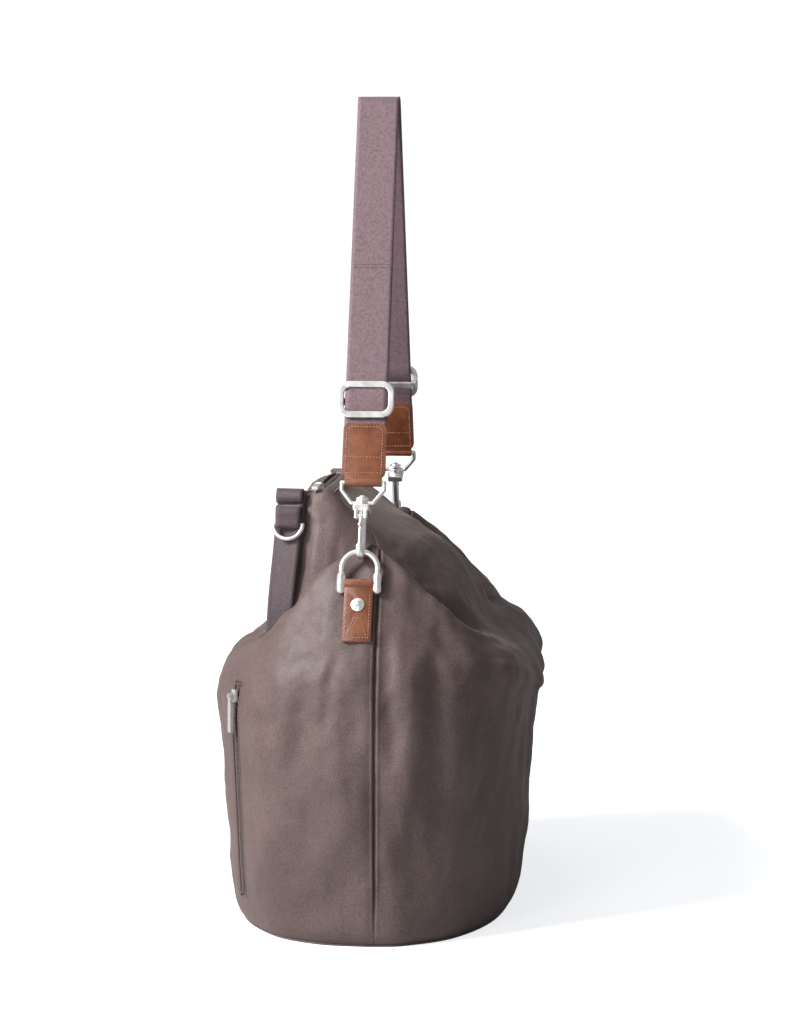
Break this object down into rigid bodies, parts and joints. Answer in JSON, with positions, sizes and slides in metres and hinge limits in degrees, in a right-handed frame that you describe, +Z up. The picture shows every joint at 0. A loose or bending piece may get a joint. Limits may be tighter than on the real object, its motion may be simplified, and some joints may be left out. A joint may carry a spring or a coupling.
{
  "type": "leather drum shoulder bag",
  "caption": "Soft drum-shaped leather shoulder bag with an oval base, zipped mouth, side zip pocket, and a clip-on webbing strap drawn up to a point.",
  "frame": {"origin": "middle of the oval base, on the floor", "axes": "+Z up, Y along the bag from the near strap end (-Y) to the far one (+Y), X across it; the pocket zip is at -X, -Y"},
  "size_m": [0.2968, 0.4124, 0.7479],
  "materials": {
    "body_leather": "soft grained, matt",
    "tan_leather": "oiled, semi-gloss",
    "webbing": "close plain weave",
    "nickel": "satin nickel plate",
    "zip_tape": "woven tape",
    "zip_teeth": "dyed coil teeth",
    "lining": "plain woven",
    "board": "stiffening board",
    "end_leather": "soft grained, matt"
  },
  "bodies": {
    "bag": {"left_panel": "body_leather", "right_panel": "body_leather", "bottom_panel": "body_leather", "base_board": "board", "lining": "lining", "pocket_bag": "lining", "pocket_zip_tape": "zip_tape", "pocket_zip_chain": "zip_teeth", "main_zip_tape": "zip_tape", "main_zip_chain": "zip_teeth", "main_zip_near_stop": "nickel", "main_zip_far_stop": "nickel", "near_ring_tab": "tan_leather", "far_ring_tab": "tan_leather", "near_rivet": "nickel", "far_rivet": "nickel", "key_strip": "webbing", "key_loop": "webbing", "near_zip_end_tab": "webbing", "far_zip_end_tab": "end_leather"},
    "near_ring_body": {"near_ring": "nickel", "near_ring_pin": "nickel"},
    "far_ring_body": {"far_ring": "nickel", "far_ring_pin": "nickel"},
    "strap": {"strap_webbing": "webbing", "strap_tail": "webbing", "near_strap_tab": "tan_leather", "far_strap_tab": "tan_leather", "near_hook_frame": "nickel", "far_hook_frame": "nickel"},
    "near_hook_body": {"near_hook": "nickel", "near_hook_gate_pin": "nickel"},
    "far_hook_body": {"far_hook": "nickel", "far_hook_gate_pin": "nickel"},
    "near_gate_body": {"near_hook_gate": "nickel"},
    "far_gate_body": {"far_hook_gate": "nickel"},
    "near_slider_body": {"near_strap_slider": "nickel"},
    "far_slider_body": {"far_strap_slider": "nickel"},
    "main_slider_body": {"main_zip_slider": "nickel"},
    "main_pull_body": {"main_zip_pull": "nickel"},
    "pocket_slider_body": {"pocket_zip_slider": "nickel"},
    "pocket_pull_body": {"pocket_zip_pull": "nickel"},
    "key_ring_body": {"key_ring": "nickel"}
  },
  "joints": [
    {"name": "near_ring_swing", "type": "hinge", "parent": "bag", "child": "near_ring_body", "pos_m": [0, -0.172, 0.319], "axis": [1, 0, 0], "range_deg": [-1, 1]},
    {"name": "far_ring_swing", "type": "hinge", "parent": "bag", "child": "far_ring_body", "pos_m": [0, 0.172, 0.319], "axis": [-1, 0, 0], "range_deg": [-1, 1]},
    {"name": "strap_swing", "type": "hinge", "parent": "bag", "child": "strap", "pos_m": [0, 0, 0.33112], "axis": [0, 1, 0], "range_deg": [-20, 20]},
    {"name": "near_hook_swivel", "type": "hinge", "parent": "strap", "child": "near_hook_body", "pos_m": [0, -0.14563, 0.38707], "axis": [0, 0.3612, 0.9325], "range_deg": [-12, 12]},
    {"name": "near_gate_press", "type": "hinge", "parent": "near_hook_body", "child": "near_gate_body", "pos_m": [0, -0.15648, 0.37733], "axis": [1, 0, 0], "range_deg": [0, 16], "stiffness_Nm_per_rad": 0.03, "springref_deg": -11.46},
    {"name": "near_adjuster_slide", "type": "slide", "parent": "strap", "child": "near_slider_body", "axis": [0, 0.3612, 0.9325], "range_m": [0, 0.11]},
    {"name": "far_hook_swivel", "type": "hinge", "parent": "strap", "child": "far_hook_body", "pos_m": [0, 0.14563, 0.38707], "axis": [0, -0.3612, 0.9325], "range_deg": [-12, 12]},
    {"name": "far_gate_press", "type": "hinge", "parent": "far_hook_body", "child": "far_gate_body", "pos_m": [0, 0.15648, 0.37733], "axis": [-1, 0, 0], "range_deg": [0, 16], "stiffness_Nm_per_rad": 0.03, "springref_deg": -11.46},
    {"name": "far_adjuster_slide", "type": "slide", "parent": "strap", "child": "far_slider_body", "axis": [0, -0.3612, 0.9325], "range_m": [0, 0.11]},
    {"name": "main_zip_slide", "type": "slide", "parent": "bag", "child": "main_slider_body", "axis": [0, 1, 0], "range_m": [0, 0.147]},
    {"name": "main_pull_turn", "type": "hinge", "parent": "main_slider_body", "child": "main_pull_body", "pos_m": [-0.048, -0.0735, 0.39525], "axis": [-1, 0, 0], "range_deg": [0, 180]},
    {"name": "pocket_zip_slide", "type": "slide", "parent": "bag", "child": "pocket_slider_body", "axis": [0.0276, 0.0366, -0.9989], "range_m": [0, 0.17]},
    {"name": "pocket_pull_turn", "type": "hinge", "parent": "pocket_slider_body", "child": "pocket_pull_body", "pos_m": [-0.11876, -0.14925, 0.21176], "axis": [-0.5339, 0.8454, 0.0162], "range_deg": [-2, 120]},
    {"name": "key_ring_turn", "type": "hinge", "parent": "bag", "child": "key_ring_body", "pos_m": [-0.071, -0.1128, 0.363], "axis": [-1, 0, 0], "range_deg": [0, 120]}
  ]
}
